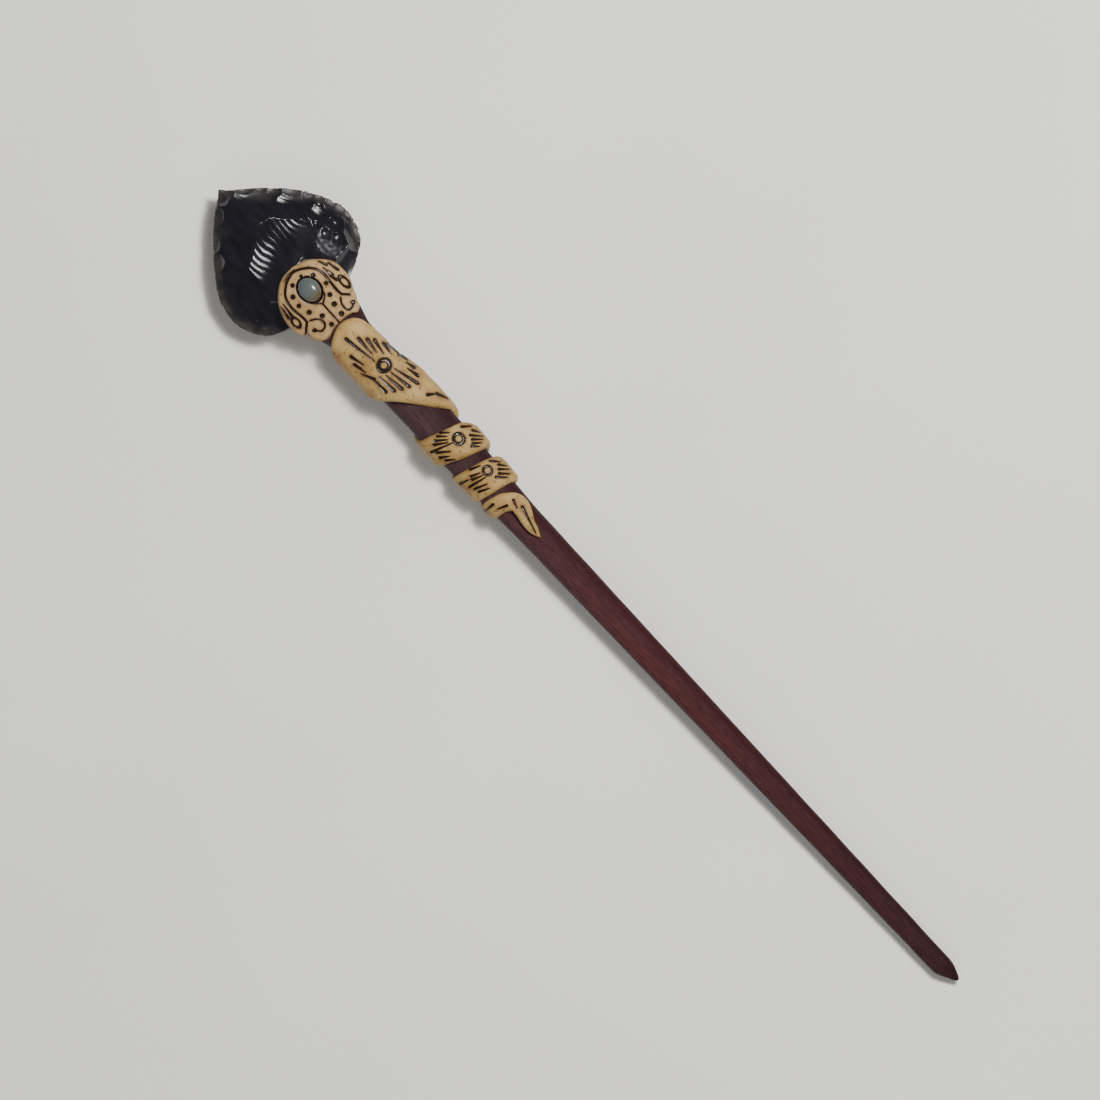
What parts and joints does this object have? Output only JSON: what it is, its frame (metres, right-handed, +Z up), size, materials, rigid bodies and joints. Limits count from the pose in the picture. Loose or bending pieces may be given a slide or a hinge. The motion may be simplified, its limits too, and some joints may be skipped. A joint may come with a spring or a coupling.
{
  "type": "hair stick",
  "caption": "Tapered wooden hair stick headed by a knapped obsidian point, held by a pressed clay medallion with a small domed stone and a wound clay strip.",
  "frame": {"origin": "centre of the stick's footprint on the surface that it lies on", "axes": "+X along the stick towards its tip, +Y across it, +Z up out of the decorated front"},
  "size_m": [0.2, 0.0296, 0.0132],
  "materials": {
    "obsidian": "glossy knapped volcanic glass, nearly black, with rippled scars and thin smoky edges",
    "wood": "satin oiled dark red-brown hardwood with fine short grain",
    "clay_tan": "matt fired clay with glossy dark brown in its pressed marks",
    "clay_pale": "matt paler fired clay with glossy dark brown in its pressed marks",
    "moonstone": "polished cloudy grey-green domed stone"
  },
  "bodies": {
    "root": {"stone_point": "obsidian", "wooden_stick": "wood", "clay_medallion": "clay_tan", "clay_backing": "clay_tan", "cabochon": "moonstone", "clay_wrap": "clay_pale"}
  },
  "joints": []
}
